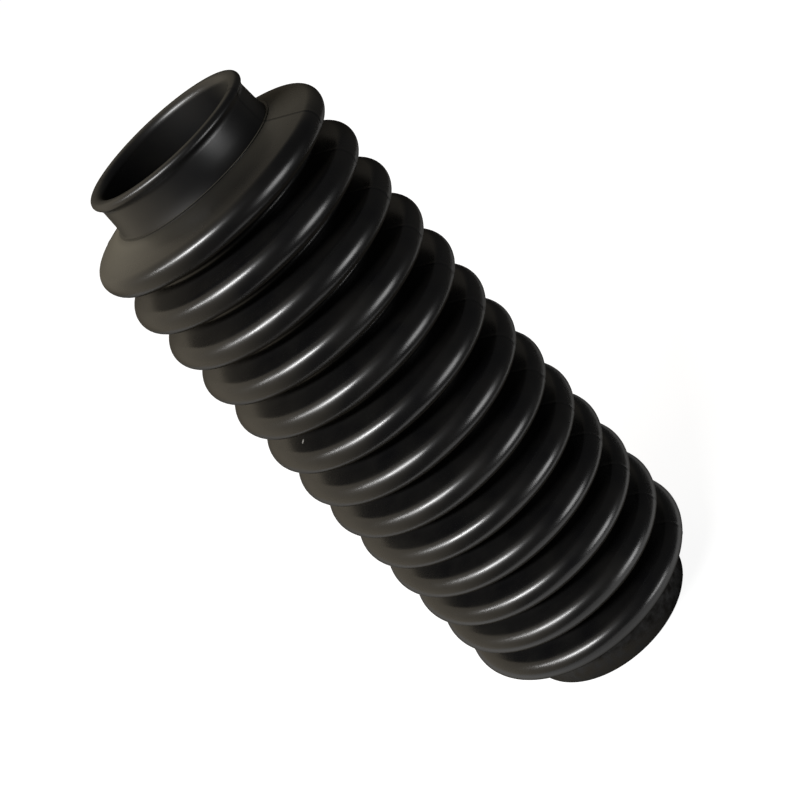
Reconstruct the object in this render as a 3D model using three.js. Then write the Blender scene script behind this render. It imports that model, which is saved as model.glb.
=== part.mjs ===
// Fork gaiter: the ribbed rubber sleeve that keeps dirt off the sliding tube of a motorcycle's front fork.
// It is one moulding: a lower collar, a stack of round folds, a sloping shoulder, and an upper collar
// whose mouth ends in a bead. Both ends are open, and the inside follows the folds at an even wall.
// Millimetres, +Z along the axis to the beaded mouth. The origin is the centre of the lower collar's end,
// on which the gaiter stands.

import * as THREE from 'three';

// Folds
const wall = 2.0;
const foldCount = 13;
const foldPitch = 14.54;
const topFoldRadius = 40.0;
const bottomFoldRadius = 41.0;
const foldRounding = 4.5;
const valleyRadius = 30.0;
const valleyRounding = 1.2;

// Lower collar, which grips the fork slider
const lowerCollarRadius = 30.0;
const lowerCollarBoreRadius = 27.0;
const lowerCollarLength = 11.9;
const lowerCollarRootRounding = 1.6;
const lowerRimRounding = 1.3;

// Shoulder between the highest fold and the upper collar
const shoulderRounding = 3.6;
const shoulderRise = 6.8;
const shoulderTopRadius = 27.2;

// Upper collar, which grips the tube under the yoke
const upperCollarRadius = 25.7;
const upperCollarBoreRadius = 22.7;
const upperCollarLength = 12.65;
const collarFootRadius = 26.8;
const collarFootStep = 0.4;
const collarFlareLength = 4.2;
const beadRadius = 26.9;
const beadHeight = 2.6;
const beadFilletHeight = 1.2;
const mouthRounding = 2.4;

// Fineness of the facets
const turnSegments = 36;
const foldCorners = 4;
const smallCorners = 2;

// Heights and centres that follow from the sizes
const shoulderTop = lowerCollarLength + (foldCount - 0.5) * foldPitch + shoulderRise;
const mouthHeight = shoulderTop + upperCollarLength;
const point = (radius, height) => new THREE.Vector2(radius, height);

function foldRadius(fold) {
  return THREE.MathUtils.lerp(bottomFoldRadius, topFoldRadius, fold / Math.max(1, foldCount - 1));
}

function foldCentre(fold, rounding) {
  return point(foldRadius(fold) - rounding, lowerCollarLength + (fold + 0.5) * foldPitch);
}

// The valley under a fold. The one under the lowest fold is the root of the lower collar.
function valleyUnder(fold) {
  const isRoot = fold === 0;
  const rounding = isRoot ? lowerCollarRootRounding : valleyRounding;
  const floor = isRoot ? lowerCollarRadius : valleyRadius;
  return { rounding, centre: point(floor + rounding, lowerCollarLength + fold * foldPitch) };
}

// The corners of a polygon wrapped round an arc, so that its flats touch the arc.
// Angles run from the outward direction towards +Z.
function roundCorners(centre, radius, fromAngle, toAngle, corners) {
  const step = (toAngle - fromAngle) / corners;
  const reach = radius / Math.cos(step / 2);
  return Array.from({ length: corners }, (_, index) => {
    const angle = fromAngle + (index + 0.5) * step;
    return point(centre.x + reach * Math.cos(angle), centre.y + reach * Math.sin(angle));
  });
}

// How far round a fold its flank leaves it, when the flank also touches a second arc further in.
function flankAngle(fold, inner, roundings) {
  const inward = fold.x - inner.x;
  const rise = Math.abs(inner.y - fold.y);
  const lean = Math.asin(Math.min(1, roundings / Math.hypot(inward, rise)));
  return Math.atan2(inward, rise) + lean;
}

const topFold = foldCount - 1;
const shoulderCentre = foldCentre(topFold, shoulderRounding);
const shoulderAngle = flankAngle(shoulderCentre, point(shoulderTopRadius, shoulderTop), shoulderRounding);

// The height of the shoulder's straight slope at a radius, on the skin that lies inset under the outside.
function shoulderHeight(radius, inset) {
  const across = (radius - shoulderCentre.x) * Math.cos(shoulderAngle);
  return shoulderCentre.y + (shoulderRounding - inset - across) / Math.sin(shoulderAngle);
}

// The folded wall from the lower collar's root to the shoulder's slope, on the outside when inset is 0
// and on the inside when inset is the wall.
function foldedSkin(inset) {
  const points = [];
  const convex = (rounding) => Math.max(rounding - inset, 0.2 * rounding);
  for (let fold = 0; fold < foldCount; fold += 1) {
    const centre = foldCentre(fold, foldRounding);
    const below = valleyUnder(fold);
    const lowAngle = flankAngle(centre, below.centre, foldRounding + below.rounding);
    const start = fold === 0 ? 0 : flankAngle(foldCentre(fold - 1, foldRounding), below.centre,
      foldRounding + below.rounding);
    points.push(...roundCorners(below.centre, below.rounding + inset,
      Math.PI + start, Math.PI - lowAngle, smallCorners));
    if (fold < topFold) {
      const above = valleyUnder(fold + 1);
      const highAngle = flankAngle(centre, above.centre, foldRounding + above.rounding);
      const corners = inset === 0 ? foldCorners : smallCorners;
      points.push(...roundCorners(centre, convex(foldRounding), -lowAngle, highAngle, corners));
    } else {
      points.push(...roundCorners(centre, convex(foldRounding), -lowAngle, 0, smallCorners));
      points.push(...roundCorners(shoulderCentre, convex(shoulderRounding), 0, shoulderAngle, smallCorners));
    }
  }
  return points;
}

function lowerCollarOutside() {
  const rimCentre = point(lowerCollarRadius - lowerRimRounding, lowerRimRounding);
  return [
    point(rimCentre.x, 0),
    ...roundCorners(rimCentre, lowerRimRounding, -Math.PI / 2, 0, smallCorners),
    point(lowerCollarRadius, lowerCollarLength),
  ];
}

function upperCollarOutside() {
  const beadFoot = mouthHeight - beadHeight;
  const beadCentre = point(beadRadius - beadHeight / 2, mouthHeight - beadHeight / 2);
  const mouthCentre = point(upperCollarBoreRadius + mouthRounding, mouthHeight - mouthRounding);
  return [
    point(shoulderTopRadius, shoulderHeight(shoulderTopRadius, 0)),
    point(collarFootRadius, shoulderTop + collarFootStep),
    point(upperCollarRadius, shoulderTop + collarFootStep + collarFlareLength),
    point(upperCollarRadius, beadFoot - beadFilletHeight),
    ...roundCorners(beadCentre, beadHeight / 2, -Math.PI / 4, Math.PI / 2, foldCorners),
    point(beadCentre.x, mouthHeight),
    point(mouthCentre.x, mouthHeight),
    ...roundCorners(mouthCentre, mouthRounding, Math.PI / 2, Math.PI, smallCorners),
    point(upperCollarBoreRadius, mouthCentre.y),
  ];
}

// The inside, from the top down. The lower collar is thicker than the folds and meets them in a slope.
function inside() {
  const rootRadius = lowerCollarRadius - wall;
  const boreTop = lowerCollarLength - Math.abs(rootRadius - lowerCollarBoreRadius);
  return [
    point(upperCollarBoreRadius, shoulderHeight(upperCollarBoreRadius, wall)),
    ...foldedSkin(wall).reverse(),
    point(rootRadius, lowerCollarLength),
    point(lowerCollarBoreRadius, boreTop),
    point(lowerCollarBoreRadius, 0),
  ];
}

function gaiterGeometry() {
  const outline = [...lowerCollarOutside(), ...foldedSkin(0), ...upperCollarOutside(), ...inside()];
  outline.push(outline[0].clone());
  const geometry = new THREE.LatheGeometry(outline, turnSegments);
  return geometry.rotateX(Math.PI / 2);
}

const rubber = new THREE.MeshStandardMaterial({ color: 0x1b1b1a, roughness: 0.42, metalness: 0 });
rubber.name = 'rubber';

const gaiter = new THREE.Mesh(gaiterGeometry(), rubber);
gaiter.name = 'gaiter';

const forkGaiter = new THREE.Group();
forkGaiter.name = 'fork_gaiter';
forkGaiter.add(gaiter);

export default forkGaiter;
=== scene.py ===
import math

import bpy
from mathutils import Matrix, Quaternion, Vector


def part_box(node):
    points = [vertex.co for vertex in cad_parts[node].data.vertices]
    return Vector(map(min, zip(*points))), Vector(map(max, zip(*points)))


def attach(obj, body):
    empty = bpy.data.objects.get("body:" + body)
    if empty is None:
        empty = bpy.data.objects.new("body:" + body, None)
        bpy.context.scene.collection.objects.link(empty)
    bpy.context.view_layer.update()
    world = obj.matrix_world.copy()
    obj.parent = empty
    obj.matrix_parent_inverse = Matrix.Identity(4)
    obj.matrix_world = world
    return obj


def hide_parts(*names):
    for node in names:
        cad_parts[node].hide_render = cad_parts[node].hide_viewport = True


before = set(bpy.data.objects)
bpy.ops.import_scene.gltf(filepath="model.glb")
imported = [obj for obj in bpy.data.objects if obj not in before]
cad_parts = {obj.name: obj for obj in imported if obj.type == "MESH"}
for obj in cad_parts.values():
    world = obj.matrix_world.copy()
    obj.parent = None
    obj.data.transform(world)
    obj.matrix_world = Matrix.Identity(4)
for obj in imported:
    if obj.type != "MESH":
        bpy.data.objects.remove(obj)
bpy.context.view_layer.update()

# The gaiter is one moulding of soft black rubber: a lower collar, thirteen round folds, a shoulder and
# an upper collar with a beaded mouth. Its section is drawn as by a draughtsman, with straight lines and
# arcs in the XZ plane, and then turned once round the axis.
mm = 0.001
gaiter_low, gaiter_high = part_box("gaiter")
height = gaiter_high.z - gaiter_low.z
fold_count = 13
fold_pitch = 14.54 * mm
top_fold_radius = 40.0 * mm
bottom_fold_radius = 40.65 * mm
fold_rounding = 4.5 * mm
valley_radius = 30.0 * mm
valley_rounding = 1.2 * mm
wall = 2.0 * mm
lower_collar_radius = 30.0 * mm
lower_collar_bore = 27.0 * mm
lower_collar_length = 11.9 * mm
lower_root_rounding = 1.6 * mm
lower_rim_rounding = 1.3 * mm
shoulder_rounding = 3.6 * mm
shoulder_rise = 6.8 * mm
shoulder_top_radius = 27.2 * mm
upper_collar_radius = 25.7 * mm
upper_collar_bore = 22.7 * mm
collar_curve = 20.0 * mm
collar_foot_slope = math.radians(14.0)
collar_top_slope = math.radians(3.0)
collar_top_level = 8.4 * mm
foot_radius = 26.75 * mm
foot_step = 0.3 * mm
bead_radius = 26.9 * mm
bead_height = 2.6 * mm
bead_fillet = 2.8 * mm
mouth_rounding = 2.4 * mm
fold_steps = 16
valley_steps = 5
small_steps = 6
inner_steps = 5
turn_steps = 180
pen_slack = 0.01 * mm
merge_distance = 0.002 * mm
shoulder_top = lower_collar_length + (fold_count - 0.5) * fold_pitch + shoulder_rise
half_turn = math.pi
quarter_turn = math.pi / 2


def start_section(radius, level):
    """A lone vertex, from which the section is drawn."""
    bpy.ops.object.select_all(action="DESELECT")
    bpy.ops.mesh.primitive_plane_add(size=mm, location=(radius, 0.0, level))
    bpy.ops.object.mode_set(mode="EDIT")
    bpy.ops.mesh.merge(type="CENTER")
    return [radius, level]


def line_to(pen, radius, level):
    """A straight line from the pen to a point."""
    step = (radius - pen[0], 0.0, level - pen[1])
    bpy.ops.mesh.extrude_region_move(TRANSFORM_OT_translate={"value": step})
    pen[:] = [radius, level]


def arc_round(pen, centre, radius, start, end, steps):
    """An arc about a centre, joined to the pen by a line. Angles run from outwards towards up."""
    first = (centre[0] + radius * math.cos(start), centre[1] + radius * math.sin(start))
    if math.dist(first, pen) > pen_slack:
        line_to(pen, *first)
    bpy.ops.mesh.spin(steps=steps, angle=end - start, center=(centre[0], 0.0, centre[1]), axis=(0, 1, 0))
    pen[:] = [centre[0] + radius * math.cos(end), centre[1] + radius * math.sin(end)]


def fold_radius(fold):
    """The folds grow a little from the top fold to the bottom one."""
    return bottom_fold_radius + (top_fold_radius - bottom_fold_radius) * fold / (fold_count - 1)


def fold_centre(fold, rounding=fold_rounding):
    """The centre of the arc round a fold's crest. Folds are counted from the bottom."""
    return (fold_radius(fold) - rounding, lower_collar_length + (fold + 0.5) * fold_pitch)


def valley_centre(fold):
    """The centre of the valley under a fold. The one under the lowest fold is the collar's root."""
    if fold == 0:
        return (lower_collar_radius + lower_root_rounding, lower_collar_length)
    return (valley_radius + valley_rounding, lower_collar_length + fold * fold_pitch)


def flank_angle(outer, inner, roundings):
    """How far round a fold its flank leaves it, when the flank also touches a valley's arc."""
    inward = outer[0] - inner[0]
    rise = abs(inner[1] - outer[1])
    return math.atan2(inward, rise) + math.asin(roundings / math.hypot(inward, rise))


shoulder_centre = fold_centre(fold_count - 1, shoulder_rounding)
shoulder_angle = flank_angle(shoulder_centre, (shoulder_top_radius, shoulder_top), shoulder_rounding)


def shoulder_level(radius, inset):
    """The level of the shoulder's slope at a radius, on the skin that lies inset under the outside."""
    across = (radius - shoulder_centre[0]) * math.cos(shoulder_angle)
    return shoulder_centre[1] + (shoulder_rounding - inset - across) / math.sin(shoulder_angle)


def folds_up(pen):
    """The outside of the folds, drawn from the lower collar up to the shoulder's slope."""
    for fold in range(fold_count):
        crest = fold_centre(fold)
        below = valley_centre(fold)
        rounding = valley_rounding if fold else lower_root_rounding
        low = flank_angle(crest, below, fold_rounding + rounding)
        start = flank_angle(fold_centre(fold - 1), below, fold_rounding + rounding) if fold else 0.0
        arc_round(pen, below, rounding, half_turn + start, half_turn - low, valley_steps)
        if fold < fold_count - 1:
            above = valley_centre(fold + 1)
            high = flank_angle(crest, above, fold_rounding + valley_rounding)
            arc_round(pen, crest, fold_rounding, -low, high, fold_steps)
        else:
            arc_round(pen, crest, fold_rounding, -low, 0.0, fold_steps // 2)
            arc_round(pen, shoulder_centre, shoulder_rounding, 0.0, shoulder_angle, fold_steps // 2)


def folds_down(pen):
    """The inside of the folds, at an even wall, drawn from the shoulder down to the lower collar."""
    crest_inside = fold_rounding - wall
    for fold in reversed(range(fold_count)):
        crest = fold_centre(fold)
        below = valley_centre(fold)
        rounding = valley_rounding if fold else lower_root_rounding
        low = flank_angle(crest, below, fold_rounding + rounding)
        if fold < fold_count - 1:
            high = flank_angle(crest, valley_centre(fold + 1), fold_rounding + valley_rounding)
            arc_round(pen, crest, crest_inside, high, -low, inner_steps)
        else:
            arc_round(pen, shoulder_centre, shoulder_rounding - wall, shoulder_angle, 0.0, inner_steps)
            arc_round(pen, crest, crest_inside, 0.0, -low, inner_steps)
        end = flank_angle(fold_centre(fold - 1), below, fold_rounding + rounding) if fold else 0.0
        arc_round(pen, below, rounding + wall, half_turn - low, half_turn + end, inner_steps)


def upper_collar_up(pen):
    """From the shoulder over the fine step at the collar's foot, up the collar and round the bead."""
    foot = shoulder_top + foot_step
    line_to(pen, shoulder_top_radius, shoulder_level(shoulder_top_radius, 0.0))
    line_to(pen, shoulder_top_radius, foot)
    line_to(pen, foot_radius, foot)
    rise = collar_curve * (math.sin(collar_foot_slope) - math.sin(collar_top_slope))
    above_foot = upper_collar_radius + (collar_top_level - rise) * math.tan(collar_top_slope)
    curve_radius = above_foot + collar_curve * math.cos(collar_top_slope)
    curve_centre = (curve_radius, foot + collar_curve * math.sin(collar_foot_slope))
    foot_angle = half_turn + collar_foot_slope
    top_angle = half_turn + collar_top_slope
    arc_round(pen, curve_centre, collar_curve, foot_angle, top_angle, small_steps)
    bead_centre = (bead_radius - bead_height / 2, height - bead_height / 2)
    from_bead = (bead_height / 2 + bead_fillet) * math.sqrt(0.5)
    fillet_centre = (bead_centre[0] + from_bead, bead_centre[1] - from_bead)
    arc_round(pen, fillet_centre, bead_fillet, half_turn, 0.75 * half_turn, small_steps)
    arc_round(pen, bead_centre, bead_height / 2, -quarter_turn / 2, quarter_turn, 2 * small_steps)


def mouth_down(pen):
    """Over the mouth's rounding and down the upper collar's bore."""
    mouth_centre = (upper_collar_bore + mouth_rounding, height - mouth_rounding)
    arc_round(pen, mouth_centre, mouth_rounding, quarter_turn, half_turn, small_steps)
    line_to(pen, upper_collar_bore, shoulder_level(upper_collar_bore, wall))


def lower_collar_round(pen):
    """Down the lower collar's bore and back to where the section began."""
    root_radius = lower_collar_radius - wall
    line_to(pen, lower_collar_bore, lower_collar_length - (root_radius - lower_collar_bore))
    line_to(pen, lower_collar_bore, 0.0)
    line_to(pen, lower_collar_radius - lower_rim_rounding, 0.0)


rim_centre = (lower_collar_radius - lower_rim_rounding, lower_rim_rounding)
pen = start_section(rim_centre[0], 0.0)
gaiter = bpy.context.object
gaiter.name = "rubber_gaiter"
arc_round(pen, rim_centre, lower_rim_rounding, -quarter_turn, 0.0, small_steps)
folds_up(pen)
upper_collar_up(pen)
bpy.ops.object.mode_set(mode="OBJECT")
outside_points = len(gaiter.data.vertices)
bpy.ops.object.mode_set(mode="EDIT")
mouth_down(pen)
folds_down(pen)
lower_collar_round(pen)
bpy.ops.object.mode_set(mode="OBJECT")
outside = gaiter.vertex_groups.new(name="outside")
outside.add(range(outside_points), 1.0, "REPLACE")
bpy.ops.object.transform_apply(location=True, rotation=True, scale=True)
bpy.ops.object.mode_set(mode="EDIT")
bpy.ops.mesh.select_all(action="SELECT")
bpy.ops.mesh.remove_doubles(threshold=merge_distance)
bpy.ops.mesh.spin(steps=turn_steps, angle=2 * half_turn, center=(0, 0, 0), axis=(0, 0, 1))
bpy.ops.mesh.select_all(action="SELECT")
bpy.ops.mesh.remove_doubles(threshold=merge_distance)
bpy.ops.mesh.normals_make_consistent(inside=False)

# The two halves of the mould met in a plane through the axis, and rubber crept into the joint between
# them. It stands up as a fine ridge on the outside of the gaiter, almost from end to end on both sides.
parting_way = Vector((0.843, -0.537, 0.0)).normalized()
parting_across = Vector((-parting_way.y, parting_way.x, 0.0))
ridge_half_width = 0.35 * mm
ridge_height = 0.08 * mm
ridge_end = 0.5 * mm
crest_slack = 0.001 * mm
surely_outside = 0.9
for offset in (-ridge_half_width, 0.0, ridge_half_width):
    bpy.ops.mesh.select_all(action="SELECT")
    bpy.ops.mesh.bisect(plane_co=parting_across * offset, plane_no=parting_across)
bpy.ops.mesh.select_all(action="DESELECT")
bpy.ops.mesh.select_mode(type="VERT")
bpy.ops.object.mode_set(mode="OBJECT")
for point in gaiter.data.vertices:
    on_skin = any(entry.group == outside.index and entry.weight > surely_outside for entry in point.groups)
    between_ends = ridge_end < point.co.z < height - ridge_end
    point.select = on_skin and between_ends and abs(point.co.dot(parting_across)) < crest_slack
bpy.ops.object.mode_set(mode="EDIT")
bpy.ops.transform.shrink_fatten(value=ridge_height)
bpy.ops.object.mode_set(mode="OBJECT")
gaiter.vertex_groups.remove(outside)

# Soft rubber never stands quite true. The gaiter is bowed a little towards its left in the middle, and
# its folds are not all the same height apart. A cage of seven levels holds it and is pushed out of true.
cage_width = 100.0 * mm
cage_sideways = (0.71, 0.18, -0.45, -0.66, -0.14, 0.22, 0.09)
cage_upwards = (0.06, -0.3, -0.7, -0.4, 0.5, 0.1, -0.02)
sharpest_smooth_corner = math.radians(40)
bpy.ops.object.select_all(action="DESELECT")
bpy.ops.object.add(type="LATTICE", location=(0.0, 0.0, height / 2))
cage = bpy.context.object
cage.scale = (cage_width, cage_width, height)
cage.data.points_w = len(cage_sideways)
points_in_level = cage.data.points_u * cage.data.points_v
for index, point in enumerate(cage.data.points):
    level = index // points_in_level
    point.co_deform.x += cage_sideways[level] * mm / cage_width
    point.co_deform.z += cage_upwards[level] * mm / height
bpy.ops.object.select_all(action="DESELECT")
gaiter.select_set(True)
bpy.context.view_layer.objects.active = gaiter
sway = gaiter.modifiers.new("sway", "LATTICE")
sway.object = cage
bpy.ops.object.modifier_apply(modifier=sway.name)
bpy.ops.object.select_all(action="DESELECT")
cage.select_set(True)
bpy.ops.object.delete()
bpy.ops.object.select_all(action="DESELECT")
gaiter.select_set(True)
bpy.context.view_layer.objects.active = gaiter
bpy.ops.object.shade_smooth_by_angle(angle=sharpest_smooth_corner)


# The rubber is black and satin, duller in the valleys and on the collars. A thin dull bloom takes its
# gloss away where it is seen edge on. The bloom lies in blotches on the lower collar. Its colour is
# painted paler on the shoulder and the upper collar, as a painted sheen, and darker in a thin line along
# the parting ridge, as a painted shade. One speck of dust sits on a fold.
darkest_rubber = (0.0018, 0.0018, 0.0020)
palest_rubber = (0.0036, 0.0034, 0.0031)
rubber_shine = 0.35
cloud_scale = 90.0
mottle_scale = 330.0
mottle_height = 0.4 * mm
grain_scale = 2600.0
grain_height = 0.02 * mm
darkest_roughness = 0.24
palest_roughness = 0.32
valley_roughness = 0.36
valley_edge = valley_radius + 4.5 * mm
valley_depth = valley_radius + 1.5 * mm
edge_bloom_share = 0.9
fold_bloom = (0.0145, 0.0130, 0.0106)
# The paler bloom colours of the shoulder and upper collar are painted sheen.
shoulder_bloom_painted_sheen = (0.058, 0.053, 0.042)
collar_bloom_painted_sheen = (0.018, 0.0168, 0.0142)
# A near-black bloom colour along the parting ridge, painted as a thin line of shade.
ridge_shade_bloom = (0.002, 0.002, 0.002)
ridge_shade_share = 0.7
ridge_shade_core = 0.3 * mm
ridge_shade_edge = 0.6 * mm
collar_blend = 1.0 * mm
speck_tone = (0.17, 0.165, 0.155)
speck_place = (-29.96 * mm, -17.06 * mm, 126.15 * mm)
speck_size = (0.9 * mm, 0.42 * mm, 1.0 * mm)
speck_turn = quarter_turn / 2


def fade(tree, value, start, end, low=0.0, high=1.0, kind="LINEAR"):
    """A share that goes from low, where the value is at start, to high, where it is at end."""
    node = tree.nodes.new("ShaderNodeMapRange")
    node.interpolation_type = kind
    node.inputs["From Min"].default_value = start
    node.inputs["From Max"].default_value = end
    node.inputs["To Min"].default_value = low
    node.inputs["To Max"].default_value = high
    tree.links.new(value, node.inputs["Value"])
    return node.outputs["Result"]


def combine(tree, operation, first, second):
    """Two values made into one, as their product or the larger of them."""
    node = tree.nodes.new("ShaderNodeMath")
    node.operation = operation
    tree.links.new(first, node.inputs[0])
    tree.links.new(second, node.inputs[1])
    return node.outputs["Value"]


def length_of(tree, way):
    """How long a way is, which for a place is how far it lies from the origin."""
    node = tree.nodes.new("ShaderNodeVectorMath")
    node.operation = "LENGTH"
    tree.links.new(way, node.inputs[0])
    return node.outputs["Value"]


def along(tree, place, direction):
    """How far a place lies along a direction."""
    node = tree.nodes.new("ShaderNodeVectorMath")
    node.operation = "DOT_PRODUCT"
    node.inputs[1].default_value = direction
    tree.links.new(place, node.inputs[0])
    return node.outputs["Value"]


def clouding(tree, place, scale, detail):
    """Soft cloudy patches, finer where the scale is larger."""
    node = tree.nodes.new("ShaderNodeTexNoise")
    node.inputs["Scale"].default_value = scale
    node.inputs["Detail"].default_value = detail
    tree.links.new(place, node.inputs["Vector"])
    return node.outputs["Fac"]


def colour_over(tree, share, under, over):
    """A plain colour laid over another by its share."""
    node = tree.nodes.new("ShaderNodeMix")
    node.data_type = "RGBA"
    node.inputs["B"].default_value = (*over, 1.0)
    tree.links.new(share, node.inputs["Factor"])
    tree.links.new(under, node.inputs["A"])
    return node.outputs["Result"]


def colours_along(tree, value, stops):
    """A run of colours, each at its own value from 0 to 1."""
    node = tree.nodes.new("ShaderNodeValToRGB")
    ramp = node.color_ramp.elements
    ramp[0].position, ramp[1].position = stops[0][0], stops[-1][0]
    for position, _ in stops[1:-1]:
        ramp.new(position)
    for element, (_, colour) in zip(ramp, stops):
        element.color = (*colour, 1.0)
    tree.links.new(value, node.inputs["Fac"])
    return node.outputs["Color"]


def roughened(tree, heights, strength, distance, under=None):
    """A surface made uneven by heights, over another unevenness where there is one."""
    node = tree.nodes.new("ShaderNodeBump")
    node.inputs["Strength"].default_value = strength
    node.inputs["Distance"].default_value = distance
    tree.links.new(heights, node.inputs["Height"])
    if under is not None:
        tree.links.new(under, node.inputs["Normal"])
    return node.outputs["Normal"]


def speck_share(tree, place):
    """Whole on the speck of dust, which lies on the eighth fold from the foot, and none round it."""
    speck = tree.nodes.new("ShaderNodeMapping")
    speck.vector_type = "TEXTURE"
    speck.inputs["Location"].default_value = speck_place
    speck.inputs["Rotation"].default_value = (0.0, 0.0, speck_turn)
    speck.inputs["Scale"].default_value = speck_size
    tree.links.new(place, speck.inputs["Vector"])
    from_speck = length_of(tree, speck.outputs["Vector"])
    return fade(tree, from_speck, 0.5, 1.0, low=1.0, high=0.0, kind="SMOOTHSTEP")


def distance_from_axis(tree, place):
    """How far a place lies from the gaiter's axis."""
    flat = tree.nodes.new("ShaderNodeVectorMath")
    flat.operation = "MULTIPLY"
    flat.inputs[1].default_value = (1.0, 1.0, 0.0)
    tree.links.new(place, flat.inputs[0])
    return length_of(tree, flat.outputs["Vector"])


def rubber_finish():
    """Cloudy black rubber with its bloom, a painted sheen on the shoulder and collar, a painted shade line
    along the ridge, and its speck.
    """
    finish = bpy.data.materials.new("black_rubber")
    finish.use_nodes = True
    tree = finish.node_tree
    nodes = tree.nodes
    links = tree.links
    place = nodes.new("ShaderNodeTexCoord").outputs["Object"]
    split_place = nodes.new("ShaderNodeSeparateXYZ")
    links.new(place, split_place.inputs["Vector"])
    level = split_place.outputs["Z"]
    blend_top = lower_collar_length + collar_blend
    on_lower_collar = fade(tree, level, blend_top, lower_collar_length - collar_blend)

    clouds = clouding(tree, place, cloud_scale, detail=5.0)
    black = colours_along(tree, clouds, [(0.35, darkest_rubber), (0.75, palest_rubber)])
    rubber = nodes["Principled BSDF"]
    rubber.inputs["Specular IOR Level"].default_value = rubber_shine
    specked = colour_over(tree, speck_share(tree, place), black, speck_tone)
    links.new(specked, rubber.inputs["Base Color"])

    dulling = nodes.new("ShaderNodeMix")
    dulling.inputs["B"].default_value = valley_roughness
    sunken = fade(tree, distance_from_axis(tree, place), valley_edge, valley_depth)
    links.new(sunken, dulling.inputs["Factor"])
    cloudy_roughness = fade(tree, clouds, 0.3, 0.7, low=darkest_roughness, high=palest_roughness)
    links.new(cloudy_roughness, dulling.inputs["A"])
    links.new(dulling.outputs["Result"], rubber.inputs["Roughness"])

    specks_of_grain = clouding(tree, place, grain_scale, detail=3.0)
    grain = roughened(tree, specks_of_grain, strength=0.12, distance=grain_height)
    mottle = clouding(tree, place, mottle_scale, detail=2.0)
    collar_mottle = combine(tree, "MULTIPLY", mottle, on_lower_collar)
    uneven = roughened(tree, collar_mottle, strength=0.8, distance=mottle_height, under=grain)
    links.new(uneven, rubber.inputs["Normal"])

    bloom = nodes.new("ShaderNodeBsdfPrincipled")
    bloom.inputs["Roughness"].default_value = 1.0
    bloom.inputs["Specular IOR Level"].default_value = 0.0
    # Up the shoulder and the upper collar the bloom is painted paler, as a painted sheen.
    up_from_top_fold = fade(tree, level, shoulder_centre[1], height)
    bloom_sheen_stops = [(0.0, fold_bloom), (0.32, shoulder_bloom_painted_sheen), (0.40, collar_bloom_painted_sheen), (1.0, collar_bloom_painted_sheen)]
    dust = colours_along(tree, up_from_top_fold, bloom_sheen_stops)
    # Along the parting ridge the bloom is darkened to a thin painted shade line.
    from_joint = nodes.new("ShaderNodeMath")
    from_joint.operation = "ABSOLUTE"
    links.new(along(tree, place, parting_across), from_joint.inputs[0])
    ridge_shade = fade(tree, from_joint.outputs["Value"], ridge_shade_core, ridge_shade_edge, low=ridge_shade_share, high=0.0)
    links.new(colour_over(tree, ridge_shade, dust, ridge_shade_bloom), bloom.inputs["Base Color"])

    edge_on = nodes.new("ShaderNodeLayerWeight")
    edge_on.inputs["Blend"].default_value = 0.5
    facing_away = edge_on.outputs["Facing"]
    edge_share = fade(tree, facing_away, 0.33, 0.85, high=edge_bloom_share, kind="SMOOTHSTEP")
    blotches = fade(tree, mottle, 0.35, 0.65, low=0.15, high=0.8)
    collar_share = combine(tree, "MULTIPLY", blotches, on_lower_collar)
    skin = nodes.new("ShaderNodeMixShader")
    links.new(combine(tree, "MAXIMUM", edge_share, collar_share), skin.inputs["Fac"])
    links.new(rubber.outputs["BSDF"], skin.inputs[1])
    links.new(bloom.outputs["BSDF"], skin.inputs[2])
    links.new(skin.outputs["Shader"], nodes["Material Output"].inputs["Surface"])
    return finish


gaiter.data.materials.clear()
gaiter.data.materials.append(rubber_finish())
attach(gaiter, "root")
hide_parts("gaiter")

# A white sheet lies under the gaiter, with one corner towards the camera. It is as wide as the picture
# needs and runs a long way back. It shows white to the camera and in reflections, which are dimmer near
# the collar, where the folds keep the light off, and it keeps the gaiter's shadow.
sheet_corners = [(0.0, -0.13), (0.285, 0.25), (0.0, 3.7), (-0.29, 0.22)]
sheet_white = 0.93
sheet_grey = (0.15, 0.15, 0.15)
dim_width = 22.0 * mm
bpy.ops.object.select_all(action="DESELECT")
bpy.ops.mesh.primitive_circle_add(vertices=len(sheet_corners), fill_type="NGON")
sheet = bpy.context.object
sheet.name = "sheet"
for point, corner in zip(sheet.data.vertices, sheet_corners):
    point.co = (corner[0], corner[1], 0.0)


def sheet_finish():
    """Matt paper that shows white by itself and takes the gaiter's shadow."""
    finish = bpy.data.materials.new("white_paper")
    finish.use_nodes = True
    tree = finish.node_tree
    nodes = tree.nodes
    links = tree.links
    paper = nodes["Principled BSDF"]
    paper.inputs["Base Color"].default_value = (*sheet_grey, 1.0)
    paper.inputs["Roughness"].default_value = 1.0
    paper.inputs["Specular IOR Level"].default_value = 0.0
    path = nodes.new("ShaderNodeLightPath")
    reflected = combine(tree, "MAXIMUM", path.outputs["Is Glossy Ray"], path.outputs["Is Transmission Ray"])
    place = nodes.new("ShaderNodeTexCoord").outputs["Object"]
    dim_edge = lower_collar_radius + dim_width
    clear_of_folds = fade(tree, length_of(tree, place), lower_collar_radius, dim_edge, high=sheet_white)
    seen = nodes.new("ShaderNodeMath")
    seen.operation = "MULTIPLY"
    seen.inputs[1].default_value = sheet_white
    links.new(path.outputs["Is Camera Ray"], seen.inputs[0])
    strength = nodes.new("ShaderNodeMath")
    strength.operation = "MULTIPLY_ADD"
    links.new(reflected, strength.inputs[0])
    links.new(clear_of_folds, strength.inputs[1])
    links.new(seen.outputs["Value"], strength.inputs[2])
    glow = nodes.new("ShaderNodeEmission")
    links.new(strength.outputs["Value"], glow.inputs["Strength"])
    both = nodes.new("ShaderNodeAddShader")
    links.new(paper.outputs["BSDF"], both.inputs[0])
    links.new(glow.outputs["Emission"], both.inputs[1])
    links.new(both.outputs["Shader"], nodes["Material Output"].inputs["Surface"])
    return finish


sheet.data.materials.append(sheet_finish())

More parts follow.
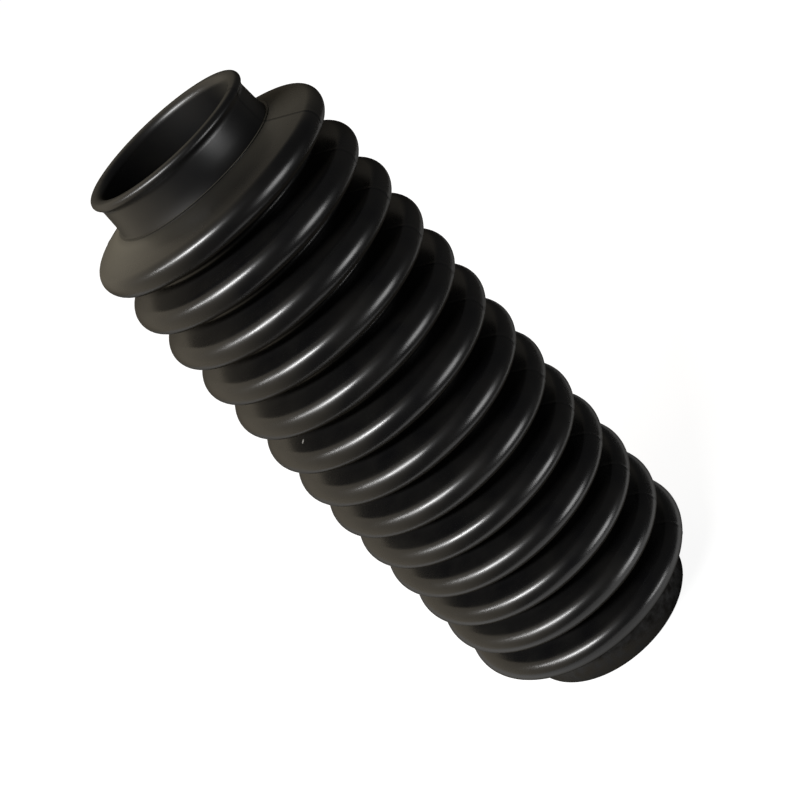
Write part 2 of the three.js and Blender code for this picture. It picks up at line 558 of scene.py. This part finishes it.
# The room round the sheet is dim in front and on the right. On the left and behind it is pale and a
# little brown, which shows in the gloss and the bloom at the left ends of the folds.
palest_way = Vector((-0.86, 0.40, 0.32))
dim_tone = (0.08, 0.08, 0.08)
pale_tone = (0.94, 0.83, 0.65)
room = bpy.data.worlds.new("room")
bpy.context.scene.world = room
room.use_nodes = True
room_tree = room.node_tree
room_way = room_tree.nodes.new("ShaderNodeTexCoord").outputs["Generated"]
towards_pale = along(room_tree, room_way, palest_way)
paleness = fade(room_tree, towards_pale, -0.05, 0.85, kind="SMOOTHSTEP")
room_tone = room_tree.nodes.new("ShaderNodeMix")
room_tone.data_type = "RGBA"
room_tone.inputs["A"].default_value = (*dim_tone, 1.0)
room_tone.inputs["B"].default_value = (*pale_tone, 1.0)
room_tree.links.new(paleness, room_tone.inputs["Factor"])
room_tree.links.new(room_tone.outputs["Result"], room_tree.nodes["Background"].inputs["Color"])

# Three lamps light the front: a long one up on the left, whose reflection runs along the top of every
# fold, a faint one further round that lengthens it, and a squarer one low on the right.
middle = Vector((0.0, 0.0, height / 2))
lamp_distance = 2.5


def way_towards(azimuth, elevation):
    """A direction from the gaiter. Azimuth runs from the front towards the right."""
    side = math.radians(azimuth)
    rise = math.radians(elevation)
    return Vector((math.sin(side) * math.cos(rise), -math.cos(side) * math.cos(rise), math.sin(rise)))


def add_lamp(name, start, end, breadth, power):
    """A soft lamp that faces the gaiter, from one azimuth and elevation to another."""
    near_end = middle + way_towards(*start) * lamp_distance
    far_end = middle + way_towards(*end) * lamp_distance
    place = (near_end + far_end) / 2
    lengthwise = (far_end - near_end).normalized()
    backwards = (place - middle).normalized()
    across = backwards.cross(lengthwise)
    bpy.ops.object.light_add(type="AREA", location=place)
    lamp = bpy.context.object
    lamp.name = name
    turned = Matrix((lengthwise, across, backwards)).transposed().to_4x4()
    lamp.matrix_world = Matrix.Translation(place) @ turned
    lamp.data.shape = "RECTANGLE"
    lamp.data.size = (far_end - near_end).length
    lamp.data.size_y = breadth
    lamp.data.energy = power


add_lamp("left_lamp", start=(-62.0, 34.0), end=(-25.0, 39.0), breadth=0.26, power=105.0)
add_lamp("far_left_lamp", start=(-86.0, 31.0), end=(-62.0, 34.0), breadth=0.26, power=20.0)
add_lamp("right_lamp", start=(30.0, -24.0), end=(58.0, -24.0), breadth=0.93, power=35.0)

# The camera looks down on the standing gaiter from in front and is rolled on its side, so that the
# gaiter lies across the picture with its mouth up and to the left.
camera_distance = 463.8 * mm
camera_elevation = math.radians(24.46)
camera_level = 114.06 * mm
camera_side = -0.1 * mm
camera_target = Vector((-1.8 * mm, 0.0, 106.7 * mm))
camera_roll = math.radians(-43.3)
camera_back = camera_distance * math.cos(camera_elevation)
camera_height = camera_level + camera_distance * math.sin(camera_elevation)
camera_place = Vector((camera_side, -camera_back, camera_height))
camera_aim = (camera_target - camera_place).to_track_quat("-Z", "Y")
bpy.ops.object.camera_add(location=camera_place)
camera = bpy.context.object
camera.name = "camera"
camera.rotation_euler = (camera_aim @ Quaternion((0, 0, 1), camera_roll)).to_euler()
camera.data.lens = 70.0
camera.data.sensor_width = 36.0
camera.data.clip_end = 50.0
bpy.context.scene.camera = camera
bpy.context.scene.view_settings.view_transform = "Standard"
